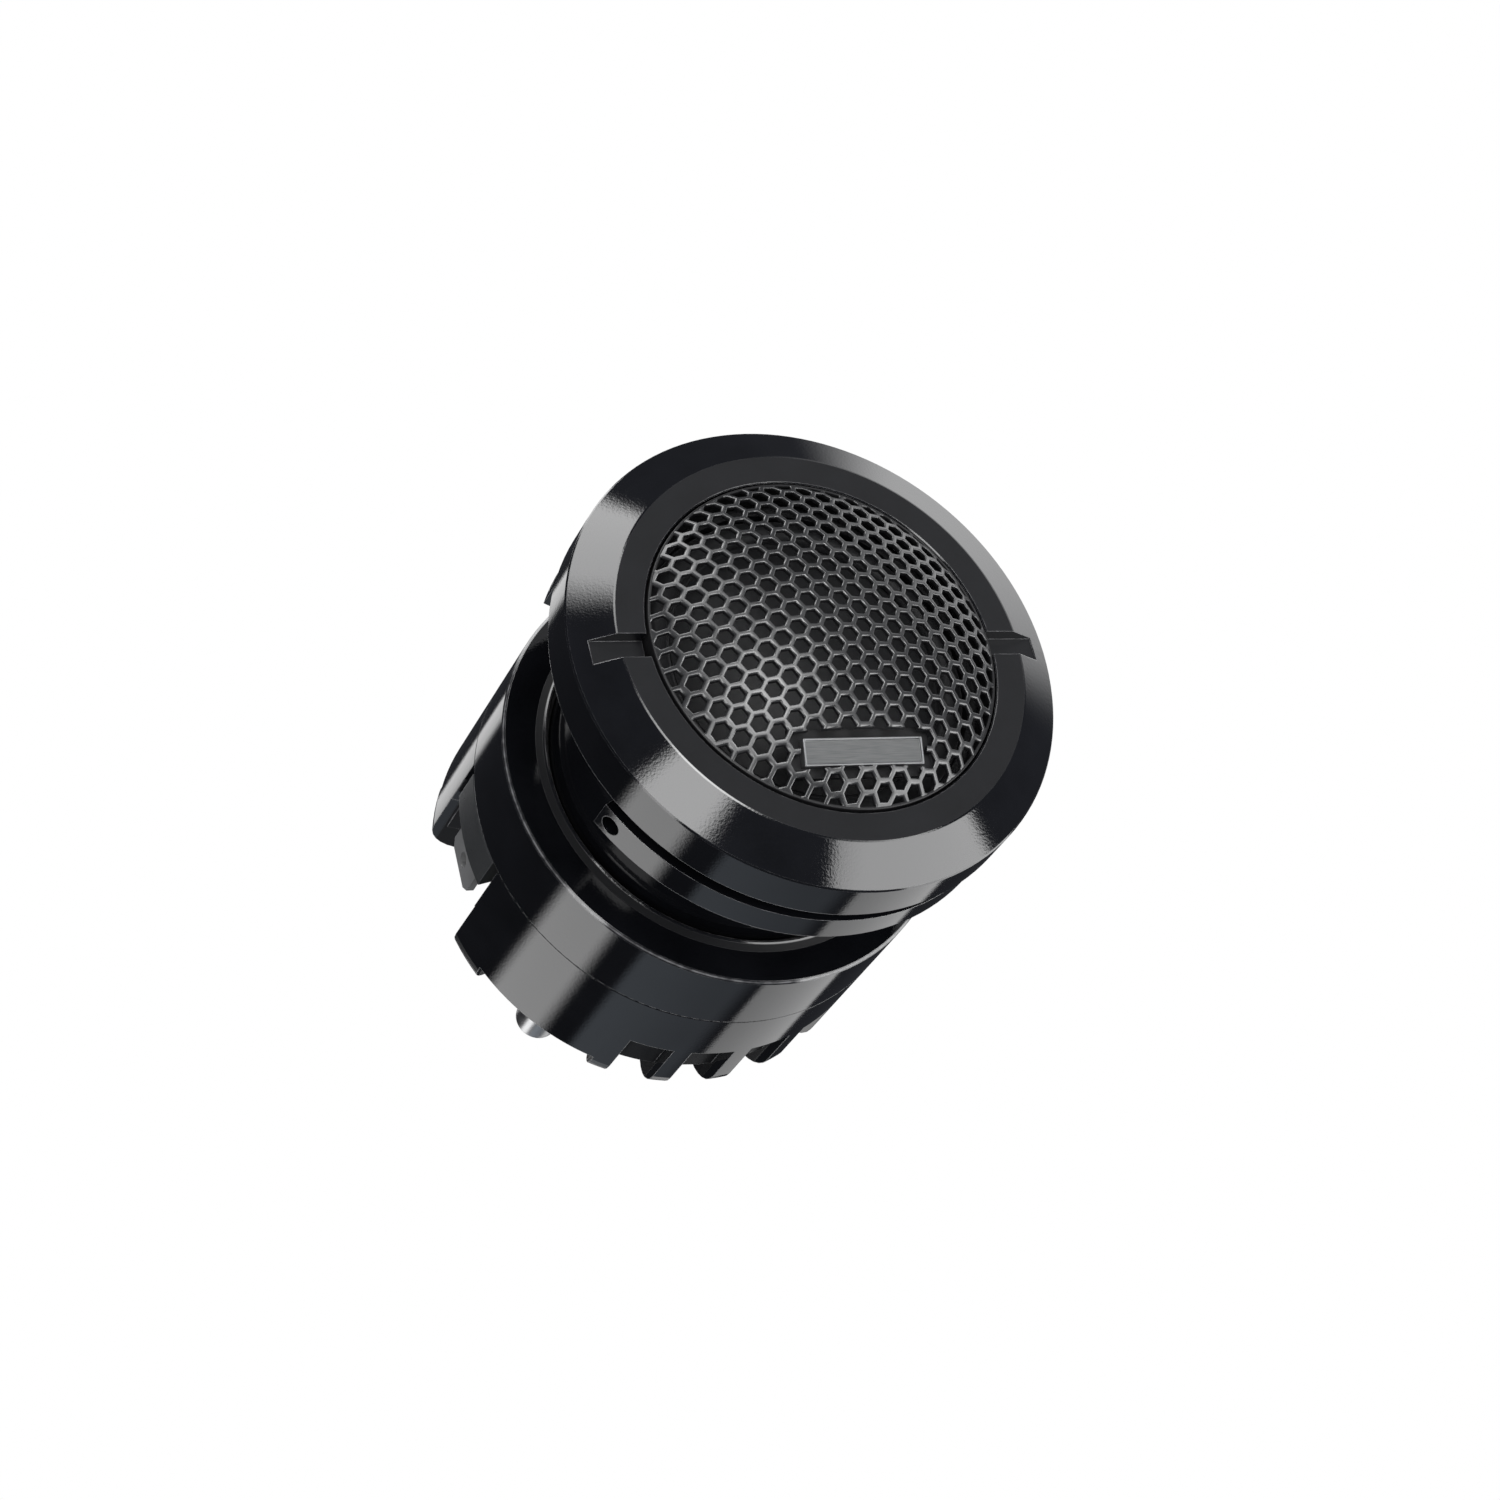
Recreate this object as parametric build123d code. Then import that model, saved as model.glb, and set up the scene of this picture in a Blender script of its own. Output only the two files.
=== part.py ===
from build123d import *
import math
import os

# Flush-mount car tweeter: domed hexagonal grille in a chamfered bezel, bayonet chassis, dome
# motor unit, finned rear heat sink and a central mounting stud.
#
# Millimetres. +Z is the acoustic axis, out of the grille. The origin is on that axis, in the
# plane of the bezel's rear seating face. +Y is the side away from the badge; the terminals are
# on the -X side. Azimuths are in degrees from +X towards +Y.

# ---- bezel
BEZEL_R = 26.0
BEZEL_H = 4.9            # height of the cylindrical side wall
FACE_Z = 7.15            # flat annulus around the grille
FACE_R = 21.67           # outer radius of the flat annulus
APERTURE_R = 18.63
SLOT_W = 2.6             # tool slots across the face at 0 and 180 degrees
SLOT_FLOOR_Z = 5.65
SLOT_END_R = 24.25

# ---- chassis
FIT_GAP = 0.05           # clearance between mating parts
FLANGE_R = 24.65
FLANGE_TOP = 3.25
NECK_R = 19.2
NECK_BORE = 17.0
NECK_END_Z = -22.5
LEDGE_R, LEDGE_Z = 18.65, 1.0    # recess that seats the diaphragm
YOKE_SEAT_BORE = 10.0
YOKE_SEAT_END_Z = -17.5
LUG_R = 25.6             # bayonet lug lip
LUG_NECK_R = 24.0
LUG_INNER_R = 22.4
LUG_TOP_Z = -2.12
LUG_END_Z = -5.55
LUG_HALF = 61.5          # each lug spans this many degrees either side of +Y and -Y
LUG_OVERLAP = 0.5        # lip reaches this far into the lug neck
DETENT_D = 2.1
DETENT_DEPTH = 1.6
DETENT_Z = -3.94
DETENT_FROM_END = 3.6    # degrees in from each lug end
LEAD_Y = 1.6             # lead wires and their slots, either side of the XZ plane
LEAD_SLOT_HALF = 0.65

# ---- grille
GRILLE_R = 18.4          # outer radius of the domed mesh
GRILLE_RIM_Z = 7.45      # dome height at that radius
GRILLE_APEX_Z = 12.66
GRILLE_T = 0.6
SKIRT_T = 0.3
FOOT_R = 21.0            # flange at the bottom of the skirt
GASKET_BORE = 18.9
FOOT_Z = FLANGE_TOP + 0.5        # the gasket fills the gap below the foot
FOOT_TOP_Z = FOOT_Z + GRILLE_T
HEX_PITCH = 2.0          # centre to centre of neighbouring cells
HEX_FLATS = 1.48         # across flats of one cell
CELL_LIMIT = GRILLE_R - 0.25     # cells stop at the rim
SIEVE_R = CELL_LIMIT + 0.07
MIN_CELL_AREA = 0.35
MIN_CORNER_GAP = 0.06
WINDOW_W, WINDOW_H, WINDOW_Y = 13.6, 3.46, -13.0

# ---- badge (blank) and clip
BADGE_W, BADGE_H, BADGE_T = 12.9, 2.8, 0.95
BADGE_Y, BADGE_Z, BADGE_TILT = -13.15, 9.30, 17.0
BADGE_CHAMFER = 0.12
CLIP_W, CLIP_H, CLIP_T = 15.0, 4.8, 0.5

# ---- lower body
BODY_R = 24.45
BODY_TOP_Z = -18.66
BODY_CHAMFER = 0.3
SEAM_Z = -27.9           # joint with the heat sink
BODY_BORE = 14.6
LIP_R, LIP_Z, LIP_FOOT_R = 20.05, -18.2, 20.9    # raised lip round the neck
LIP_BORE = 19.9
SEAL_R, SEAL_BACK_Z, SEAL_FRONT_Z = 19.85, -20.15, -19.2
SEAM_GAP, SEAM_DEPTH = 0.16, 0.5                 # shadow groove at the seam
FACE_GAP = 0.02          # gap between faces that meet

# ---- heat sink
WALL_END_Z = -35.66      # full-radius wall ends here, fins carry on
CORE_R = 23.1
CORE_BACK_Z = -41.35
FIN_TIP_Z = -45.3
FIN_W = 2.0
WIDE_FIN_W = 3.9         # single fin at 0 degrees
FIN_CORNER = 3.4
FIN_INNER_R = 12.5
FIN_INNER_CHAMFER = 2.6
FIN_FIRST, FIN_PITCH, FIN_COUNT = 260.4, 16.2, 6
BLOCKS = ((195.1, 206.0), (241.9, 246.7))        # solid sectors, mirrored across the XZ plane
POCKET_HALF = 14.9       # half angle of the terminal opening at 180 degrees
POCKET_R = 16.5
CAVITY_R = 13.9
CAVITY_BACK_Z = -37.0
HUB_SEAT_Z = -40.0
HUB_R = 7.0
CHAMBER_GASKET_IN, CHAMBER_GASKET_OUT, CHAMBER_GASKET_T = 14.7, 15.8, 0.6
GROOVE_SIDE_GAP = 0.1

# ---- terminals
CARRIER_R = 17.3         # inner radius
CARRIER_HALF = 12.2      # half angle
CARRIER_END_Z = -33.06
CARRIER_CHAMFER = 0.15
TAB_T = 0.8
TAB_TOP_Z = -28.9
TAB_END_Z = -39.2
TAB_HOLE_FROM_END = 1.75
# name: back face x, width, hole diameter
TABS = {
    "terminal_positive": (-22.96, 6.3, 1.7),
    "terminal_negative": (-19.4, 4.8, 1.4),
}
LEAD_WIRE_R = 0.42
TINSEL_Y, TINSEL_R = 1.45, 0.13

# ---- motor
YOKE_R, YOKE_BORE, YOKE_BACK_Z = 17.2, 14.95, -15.0
YOKE_FLOOR_Z = -10.0
BOSS_R, BOSS_BACK_Z = 9.9, -19.0
MAGNET_R = 12.4
PLATE_R = 13.4
PLATE_BACK_Z = -4.0
CAP_FRONT_T, CAP_SIDE_T = 0.25, 0.2
FELT_R, FELT_TOP_Z = 8.5, 1.5
COIL_R = 13.95           # inner radius of the former
FORMER_T, WINDING_T = 0.2, 0.45
FORMER_BACK_Z = -3.6
WINDING_BACK_Z, WINDING_FRONT_Z = -3.4, -0.6
DOME_R, DOME_BASE_Z, DOME_APEX_Z, DOME_T = 14.2, 1.6, 6.8, 0.25
DOME_SPRING_Z = 2.2      # the curve starts here, above a short straight wall
DOME_STEPS = 24

# ---- surround
ROLL_R, ROLL_CENTRE_R = 1.35, 15.95
ROLL_OUTER_Z, ROLL_INNER_Z = 1.12, 2.0
ROLL_STEPS = 13
SURROUND_OUT_R, SURROUND_IN_R, SURROUND_T = 18.3, 14.32, 0.2

# ---- rear chamber and stud
FOAM_IN, FOAM_OUT, FOAM_BACK_Z, FOAM_FRONT_Z = 3.2, 12.0, -36.8, -24.5
STUD_R = 2.5             # M5
STUD_HOLE_R = STUD_R + 0.1
STUD_TOP_Z = -16.5
STUD_END_Z = -80.0
RUNOUT_Z = -45.3         # thread run-out groove, behind the nut
RUNOUT_DEPTH = 0.45
WASHER_R, WASHER_T = 4.6, 1.1
NUT_FLATS, NUT_H = 8.0, 4.0
NUT_ROUNDING_R = 4.85    # sphere that rounds off the nut's corners

os.makedirs("parts", exist_ok=True)


# ---- helpers
def revolved(outline):
    """Solid of revolution about Z from a closed (r, z) outline."""
    face = make_face(Polyline(*[(r, 0, z) for r, z in outline], close=True))
    return revolve(face, axis=Axis.Z)


def cylinder(r, z0, z1):
    return Pos(0, 0, z0) * Cylinder(r, z1 - z0, align=(Align.CENTER, Align.CENTER, Align.MIN))


def tube(r_in, r_out, z0, z1):
    return cylinder(r_out, z0, z1) - cylinder(r_in, z0 - 1, z1 + 1)


def polar(r, azimuth):
    return r * math.cos(math.radians(azimuth)), r * math.sin(math.radians(azimuth))


def sector(r_in, r_out, a0, a1, z0, z1):
    """Annular block between two azimuths."""
    a_mid = (a0 + a1) / 2
    outline = [
        ThreePointArc(polar(r_out, a0), polar(r_out, a_mid), polar(r_out, a1)),
        Line(polar(r_out, a1), polar(r_in, a1)),
        ThreePointArc(polar(r_in, a1), polar(r_in, a_mid), polar(r_in, a0)),
        Line(polar(r_in, a0), polar(r_out, a0)),
    ]
    face = make_face(Wire(outline).edges())
    return Pos(0, 0, z0) * extrude(face, amount=z1 - z0, dir=(0, 0, 1))


def box(x0, x1, y0, y1, z0, z1):
    centre = Pos((x0 + x1) / 2, (y0 + y1) / 2, (z0 + z1) / 2)
    return centre * Box(abs(x1 - x0), abs(y1 - y0), abs(z1 - z0))


def wire_tube(points, r):
    path = Spline(*points)
    section = Plane(origin=path @ 0, z_dir=path % 0) * Circle(r)
    return sweep(section, path=path)


def sphere_radius(edge_r, rise):
    """Radius of the sphere whose cap has this edge radius and rise."""
    return (edge_r ** 2 + rise ** 2) / (2 * rise)


def largest(shape):
    return max(shape.solids(), key=lambda solid: solid.volume)


def save(name, shape):
    solids = shape.solids()
    out = solids[0] if len(solids) == 1 else Compound(children=list(solids))
    out.label = name
    export_step(out, f"parts/{name}.step")


# ---- bezel
bezel_bore = FLANGE_R + FIT_GAP
bezel = revolved([
    (bezel_bore, 0.0), (BEZEL_R, 0.0),
    (BEZEL_R, BEZEL_H - 0.16), (BEZEL_R - 0.12, BEZEL_H + 0.05),
    (FACE_R + 0.16, FACE_Z - 0.07), (FACE_R - 0.02, FACE_Z),
    (APERTURE_R + 0.12, FACE_Z), (APERTURE_R, FACE_Z - 0.12),
    (APERTURE_R, FOOT_TOP_Z + FIT_GAP), (FOOT_R + 0.2, FOOT_TOP_Z + FIT_GAP),
    (FOOT_R + 0.2, FLANGE_TOP + FIT_GAP), (bezel_bore, FLANGE_TOP + FIT_GAP),
])
for side in (-1, 1):
    bezel -= box(side * (APERTURE_R - 1), side * SLOT_END_R, -SLOT_W / 2, SLOT_W / 2,
                 SLOT_FLOOR_Z, FACE_Z + 1)
save("bezel", bezel)


# ---- grille
def clipped(points, r):
    """Polygon cut back to a circle of radius r about the axis, as 72 tangent lines."""
    for k in range(72):
        nx, ny = polar(1, 5 * k)
        kept = []
        for m, p in enumerate(points):
            q = points[(m + 1) % len(points)]
            p_out = p[0] * nx + p[1] * ny - r
            q_out = q[0] * nx + q[1] * ny - r
            if p_out <= 0:
                kept.append(p)
            if p_out * q_out < 0:
                t = p_out / (p_out - q_out)
                kept.append((p[0] + t * (q[0] - p[0]), p[1] + t * (q[1] - p[1])))
        points = kept
        if not points:
            return []
    return points


def spaced(points, gap):
    """Polygon without the corners that crowd within gap of one another."""
    kept = []
    for p in points:
        if not kept or math.dist(p, kept[-1]) > gap:
            kept.append(p)
    while len(kept) > 2 and math.dist(kept[0], kept[-1]) < gap:
        kept.pop()
    return kept


def polygon_area(points):
    pairs = zip(points, points[1:] + points[:1])
    return abs(sum(p[0] * q[1] - q[0] * p[1] for p, q in pairs)) / 2


def cell_outlines():
    """Hexagonal holes, cut back at the rim and left out inside the badge window."""
    row = HEX_PITCH / 2
    column = HEX_PITCH * math.sqrt(3) / 2
    corner_r = HEX_FLATS / math.sqrt(3)
    outlines = []
    for i in range(-11, 12):
        for j in range(-20, 21):
            x, y = i * column, j * row
            if (i + j) % 2 or math.hypot(x, y) > CELL_LIMIT + 0.3:
                continue
            in_window_x = abs(x) < WINDOW_W / 2 - corner_r
            if in_window_x and abs(y - WINDOW_Y) < WINDOW_H / 2 - HEX_FLATS / 2:
                continue
            corners = [polar(corner_r, 60 * k) for k in range(6)]
            points = [(x + dx, y + dy) for dx, dy in corners]
            if math.hypot(x, y) > CELL_LIMIT - corner_r:
                points = spaced(clipped(points, CELL_LIMIT), MIN_CORNER_GAP)
            if len(points) > 2 and polygon_area(points) > MIN_CELL_AREA:
                vectors = [Vector(px, py, 0) for px, py in points]
                outlines.append(Wire.make_polygon(vectors, close=True))
    return outlines


outer_ball = sphere_radius(GRILLE_R, GRILLE_APEX_Z - GRILLE_RIM_Z)
inner_ball = outer_ball - GRILLE_T
ball_z = GRILLE_APEX_Z - outer_ball


def on_ball(r, ball):
    """Point in the XZ plane on a grille sphere, at radius r from the axis."""
    return r, 0, ball_z + math.sqrt(ball * ball - r * r)


def ball_arc(r0, r1, ball):
    return ThreePointArc(on_ball(r0, ball), on_ball((r0 + r1) / 2, ball), on_ball(r1, ball))


sieve_face = Face(Wire.make_circle(SIEVE_R), cell_outlines())
sieve = Pos(0, 0, 3.0) * Solid.extrude(sieve_face, Vector(0, 0, 12))
shell = Wire([
    *ball_arc(0, SIEVE_R, outer_ball).edges(),
    *Line(on_ball(SIEVE_R, outer_ball), on_ball(SIEVE_R, inner_ball)).edges(),
    *ball_arc(SIEVE_R, 0, inner_ball).edges(),
    *Line(on_ball(0, inner_ball), on_ball(0, outer_ball)).edges(),
])
mesh = revolve(make_face(shell.edges()), axis=Axis.Z) & sieve
mesh -= box(-WINDOW_W / 2, WINDOW_W / 2, WINDOW_Y - WINDOW_H / 2, WINDOW_Y + WINDOW_H / 2, 4.6, 14)
mesh = largest(mesh)
skirt_in = GRILLE_R - SKIRT_T
rim = Wire([
    *ball_arc(SIEVE_R, GRILLE_R, outer_ball).edges(),
    *Polyline(
        on_ball(GRILLE_R, outer_ball), (GRILLE_R, 0, FOOT_TOP_Z), (FOOT_R, 0, FOOT_TOP_Z),
        (FOOT_R, 0, FOOT_Z), (skirt_in, 0, FOOT_Z),
        (skirt_in, 0, on_ball(SIEVE_R, inner_ball)[2]),
        on_ball(SIEVE_R, inner_ball), on_ball(SIEVE_R, outer_ball)).edges(),
])
grille = mesh + revolve(make_face(rim.edges()), axis=Axis.Z)
save("grille", largest(grille))

# ---- badge and its clip
tilt = Pos(0, BADGE_Y, BADGE_Z) * Rot(BADGE_TILT, 0, 0)
badge = tilt * (Pos(0, 0, -BADGE_T / 2) * Box(BADGE_W, BADGE_H, BADGE_T))
badge = chamfer(badge.edges().filter_by(Axis.X).sort_by(Axis.Z)[-2:], BADGE_CHAMFER)
save("badge", badge)
save("badge_clip", tilt * (Pos(0, 0, -BADGE_T - CLIP_T / 2) * Box(CLIP_W, CLIP_H, CLIP_T)))

# ---- gasket under the grille foot
save("grille_gasket", tube(GASKET_BORE, FOOT_R, FLANGE_TOP, FOOT_Z))

# ---- chassis: flange, bayonet lugs and neck
yoke_pocket_r = YOKE_R + 0.1
chassis = revolved([
    (NECK_R, NECK_END_Z), (NECK_R, 0.0), (FLANGE_R, 0.0), (FLANGE_R, FLANGE_TOP),
    (LEDGE_R, FLANGE_TOP), (LEDGE_R, LEDGE_Z), (yoke_pocket_r, LEDGE_Z),
    (yoke_pocket_r, YOKE_BACK_Z), (YOKE_SEAT_BORE, YOKE_BACK_Z),
    (YOKE_SEAT_BORE, YOKE_SEAT_END_Z), (NECK_BORE, YOKE_SEAT_END_Z), (NECK_BORE, NECK_END_Z),
])
for lug_mid in (90.0, 270.0):
    a0, a1 = lug_mid - LUG_HALF, lug_mid + LUG_HALF
    chassis += sector(LUG_INNER_R, LUG_NECK_R, a0, a1, LUG_END_Z, 0.0)
    chassis += sector(LUG_NECK_R - LUG_OVERLAP, LUG_R, a0, a1, LUG_END_Z, LUG_TOP_Z)
    for azimuth in (a0 + DETENT_FROM_END, a1 - DETENT_FROM_END):
        place = Rot(0, 0, azimuth) * Pos(LUG_R - DETENT_DEPTH, 0, DETENT_Z) * Rot(0, 90, 0)
        chassis -= place * cylinder(DETENT_D / 2, 0, 4)
for y in (-LEAD_Y, LEAD_Y):
    chassis -= box(-18.4, -16.5, y - LEAD_SLOT_HALF, y + LEAD_SLOT_HALF, -20.6, 1.2)
save("chassis", chassis)

# ---- diaphragm clamp ring, (r, z)
save("diaphragm_ring", revolved([(17.5, 1.3), (18.6, 1.3), (18.6, 3.1), (17.9, 3.1), (17.5, 2.7)]))

# ---- neck seal
save("neck_seal", tube(NECK_R + FACE_GAP, SEAL_R, SEAL_BACK_Z, SEAL_FRONT_Z))

# ---- body ring
seam_floor_r = BODY_R - SEAM_DEPTH
save("body_ring", revolved([
    (LIP_R, LIP_Z), (LIP_FOOT_R, BODY_TOP_Z),
    (BODY_R - BODY_CHAMFER, BODY_TOP_Z), (BODY_R, BODY_TOP_Z - BODY_CHAMFER),
    (BODY_R, SEAM_Z + SEAM_GAP / 2), (seam_floor_r, SEAM_Z + SEAM_GAP / 2),
    (seam_floor_r, SEAM_Z + FACE_GAP), (BODY_BORE, SEAM_Z + FACE_GAP),
    (BODY_BORE, NECK_END_Z - FACE_GAP), (NECK_R + FIT_GAP, NECK_END_Z - FACE_GAP),
    (NECK_R + FIT_GAP, SEAL_BACK_Z), (LIP_BORE, SEAL_BACK_Z), (LIP_BORE, LIP_Z),
]))


# ---- heat sink
def both_sides(a0, a1):
    """An azimuth span and its mirror image across the XZ plane."""
    return (a0, a1), (360 - a1, 360 - a0)


sink = revolved([
    (CAVITY_R, SEAM_Z - FACE_GAP), (seam_floor_r, SEAM_Z - FACE_GAP),
    (seam_floor_r, SEAM_Z - SEAM_GAP / 2), (BODY_R, SEAM_Z - SEAM_GAP / 2),
    (BODY_R, WALL_END_Z + 0.1), (BODY_R - 0.1, WALL_END_Z), (CORE_R, WALL_END_Z),
    (CORE_R, CORE_BACK_Z), (HUB_R, CORE_BACK_Z), (HUB_R, HUB_SEAT_Z), (STUD_HOLE_R, HUB_SEAT_Z),
    (STUD_HOLE_R, CAVITY_BACK_Z), (CAVITY_R, CAVITY_BACK_Z),
])
# envelope shared by every fin: rounded outer corner at the back, chamfered inner one
fin_corner = [
    (BODY_R - FIN_CORNER + FIN_CORNER * math.cos(t), FIN_TIP_Z + FIN_CORNER - FIN_CORNER * math.sin(t))
    for t in [math.radians(15 * k) for k in range(7)]
]
fin_envelope = revolved(
    [(FIN_INNER_R, WALL_END_Z + 1), (BODY_R, WALL_END_Z + 1)] + fin_corner
    + [(FIN_INNER_R + FIN_INNER_CHAMFER, FIN_TIP_Z), (FIN_INNER_R, FIN_TIP_Z + FIN_INNER_CHAMFER)])
# oversize bars, trimmed to the envelope
bar_radii = (FIN_INNER_R - 1, BODY_R + 1)
bar_ends = (FIN_TIP_Z - 1, WALL_END_Z + 0.5)
fin_bars = []
for k in range(FIN_COUNT):
    azimuth = FIN_FIRST + k * FIN_PITCH
    for a in (azimuth, 360 - azimuth):
        fin_bars.append(Rot(0, 0, a) * box(*bar_radii, -FIN_W / 2, FIN_W / 2, *bar_ends))
fin_bars.append(box(*bar_radii, -WIDE_FIN_W / 2, WIDE_FIN_W / 2, *bar_ends))
for block in BLOCKS:
    for a0, a1 in both_sides(*block):
        fin_bars.append(sector(*bar_radii, a0, a1, *bar_ends))
for bar in fin_bars:
    sink += bar & fin_envelope
# full-radius wall between the two blocks on each side
for a0, a1 in both_sides(BLOCKS[0][1] - 0.5, BLOCKS[1][0] + 0.5):
    sink += sector(CORE_R - 1, BODY_R, a0, a1, CORE_BACK_Z, WALL_END_Z + 0.3)
# terminal opening, and the window from it into the cavity
sink -= sector(POCKET_R, BODY_R + 2, 180 - POCKET_HALF, 180 + POCKET_HALF,
               FIN_TIP_Z - 1, SEAM_Z + 1)
sink -= box(-POCKET_R - 0.6, -CAVITY_R + 0.6, -2.6, 2.6, -32.2, -29.4)
# groove for the chamber gasket
sink -= tube(CHAMBER_GASKET_IN - GROOVE_SIDE_GAP, CHAMBER_GASKET_OUT + GROOVE_SIDE_GAP,
             SEAM_Z - CHAMBER_GASKET_T - FACE_GAP, SEAM_Z + 0.5)
save("heat_sink", largest(sink))
save("chamber_gasket",
     tube(CHAMBER_GASKET_IN, CHAMBER_GASKET_OUT, SEAM_Z - CHAMBER_GASKET_T, SEAM_Z))

# ---- terminal carrier and tabs
carrier = sector(CARRIER_R, BODY_R, 180 - CARRIER_HALF, 180 + CARRIER_HALF,
                 CARRIER_END_Z, SEAM_Z - 0.12)
outer_arcs = carrier.edges().filter_by(GeomType.CIRCLE).sort_by(lambda e: -e.radius)[:2]
carrier = chamfer(outer_arcs, CARRIER_CHAMFER)
for x, width, _ in TABS.values():
    carrier -= box(x, x + TAB_T, -width / 2, width / 2, CARRIER_END_Z - 1, TAB_TOP_Z)
save("terminal_carrier", carrier)


def spade(x, width, hole_d):
    tab = box(x, x + TAB_T, -width / 2, width / 2, TAB_END_Z, TAB_TOP_Z)
    tips = [e for e in tab.edges().filter_by(Axis.X) if e.center().Z < TAB_END_Z + 0.01]
    tab = chamfer(tips, 0.8)
    hole_place = Pos(x + TAB_T / 2, 0, TAB_END_Z + TAB_HOLE_FROM_END) * Rot(0, 90, 0)
    return tab - hole_place * Cylinder(hole_d / 2, 3)


for name, tab_sizes in TABS.items():
    save(name, spade(*tab_sizes))

# ---- lead wires, carrier to diaphragm ledge
LEAD_PATH = [            # (x, z)
    (-17.18, -30.8), (-15.2, -30.8), (-13.2, -29.2), (-13.2, -25.5), (-14.6, -21.5),
    (-17.2, -19.2), (-17.8, -16.0), (-17.8, -8.0), (-17.8, -0.5),
]
for name, y in (("lead_wire_positive", LEAD_Y), ("lead_wire_negative", -LEAD_Y)):
    save(name, wire_tube([(x, y, z) for x, z in LEAD_PATH], LEAD_WIRE_R))

# ---- motor
save("yoke", revolved([
    (YOKE_R, YOKE_BACK_Z), (YOKE_R, 0.0), (YOKE_BORE, 0.0), (YOKE_BORE, YOKE_FLOOR_Z),
    (0, YOKE_FLOOR_Z), (0, STUD_TOP_Z), (STUD_R, STUD_TOP_Z), (STUD_R, BOSS_BACK_Z),
    (BOSS_R, BOSS_BACK_Z), (BOSS_R, YOKE_BACK_Z),
]))
save("magnet", cylinder(MAGNET_R, YOKE_FLOOR_Z, PLATE_BACK_Z))
save("pole_plate", cylinder(PLATE_R, PLATE_BACK_Z, 0.0))
save("shorting_cap", revolved([
    (0, 0.0), (PLATE_R, 0.0), (PLATE_R, PLATE_BACK_Z), (PLATE_R + CAP_SIDE_T, PLATE_BACK_Z),
    (PLATE_R + CAP_SIDE_T, CAP_FRONT_T), (0, CAP_FRONT_T),
]))
save("felt_pad", cylinder(FELT_R, CAP_FRONT_T, FELT_TOP_Z))

# ---- moving assembly
winding_r = COIL_R + FORMER_T
save("coil_former", tube(COIL_R, winding_r, FORMER_BACK_Z, DOME_BASE_Z))
save("voice_coil", tube(winding_r, winding_r + WINDING_T, WINDING_BACK_Z, WINDING_FRONT_Z))
dome_ball = sphere_radius(DOME_R, DOME_APEX_Z - DOME_SPRING_Z)


def dome_curve(ball, edge_r):
    """(r, z) points from the axis out to edge_r, on a sphere centred with the dome's."""
    angles = [math.asin(edge_r / ball) * k / DOME_STEPS for k in range(DOME_STEPS + 1)]
    centre_z = DOME_APEX_Z - dome_ball
    return [(ball * math.sin(t), centre_z + ball * math.cos(t)) for t in angles]


dome_inner_r = DOME_R - DOME_T
save("dome", revolved(
    [(DOME_R, DOME_BASE_Z)] + dome_curve(dome_ball, DOME_R)[::-1]
    + dome_curve(dome_ball - DOME_T, dome_inner_r) + [(dome_inner_r, DOME_BASE_Z)]))


# ---- surround: outer flange, inclined roll, inner lip
def offset_line(points, distance):
    shifted = []
    for k, (r, z) in enumerate(points):
        r0, z0 = points[max(k - 1, 0)]
        r1, z1 = points[min(k + 1, len(points) - 1)]
        scale = distance / math.hypot(r1 - r0, z1 - z0)
        shifted.append((r + scale * (z1 - z0), z - scale * (r1 - r0)))
    return shifted


mid_line = [(SURROUND_OUT_R, ROLL_OUTER_Z)]
for k in range(ROLL_STEPS + 1):
    t = math.pi * k / ROLL_STEPS
    base_z = ROLL_OUTER_Z + (ROLL_INNER_Z - ROLL_OUTER_Z) * k / ROLL_STEPS
    mid_line.append((ROLL_CENTRE_R + ROLL_R * math.cos(t), base_z + ROLL_R * math.sin(t)))
mid_line.append((SURROUND_IN_R, ROLL_INNER_Z))
save("surround", revolved(
    offset_line(mid_line, SURROUND_T / 2) + offset_line(mid_line, -SURROUND_T / 2)[::-1]))

# ---- tinsel leads
TINSEL_PATH = [(-17.75, -0.2), (-16.9, 0.55), (-15.7, 0.75), (-14.55, 0.15)]     # (x, z)
save("tinsel_leads", Compound(children=[
    wire_tube([(x, y, z) for x, z in TINSEL_PATH], TINSEL_R) for y in (-TINSEL_Y, TINSEL_Y)]))

# ---- rear chamber damping foam
save("damping_foam", tube(FOAM_IN, FOAM_OUT, FOAM_BACK_Z, FOAM_FRONT_Z))

# ---- stud, washer and nut
runout_r = STUD_R - RUNOUT_DEPTH
save("mounting_stud", revolved([
    (0, STUD_TOP_Z - 0.1), (STUD_R - 0.4, STUD_TOP_Z - 0.1), (STUD_R, STUD_TOP_Z - 0.5),
    (STUD_R, RUNOUT_Z), (runout_r, RUNOUT_Z - 0.2), (runout_r, RUNOUT_Z - 0.6),
    (STUD_R, RUNOUT_Z - 0.8), (STUD_R, STUD_END_Z + 0.3), (STUD_R - 0.3, STUD_END_Z),
    (0, STUD_END_Z),
]))
save("lock_washer", tube(STUD_HOLE_R, WASHER_R, HUB_SEAT_Z - WASHER_T, HUB_SEAT_Z))
nut_back_z = HUB_SEAT_Z - WASHER_T - NUT_H
nut = Pos(0, 0, nut_back_z) * extrude(RegularPolygon(NUT_FLATS / math.sqrt(3), 6), amount=NUT_H)
nut -= cylinder(STUD_R, nut_back_z - 1, HUB_SEAT_Z)
nut &= Pos(0, 0, nut_back_z + NUT_H / 2) * Sphere(NUT_ROUNDING_R)
save("stud_nut", nut)
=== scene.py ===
import math
import random

import bmesh
import bpy
from mathutils import Matrix, Vector, noise


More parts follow.
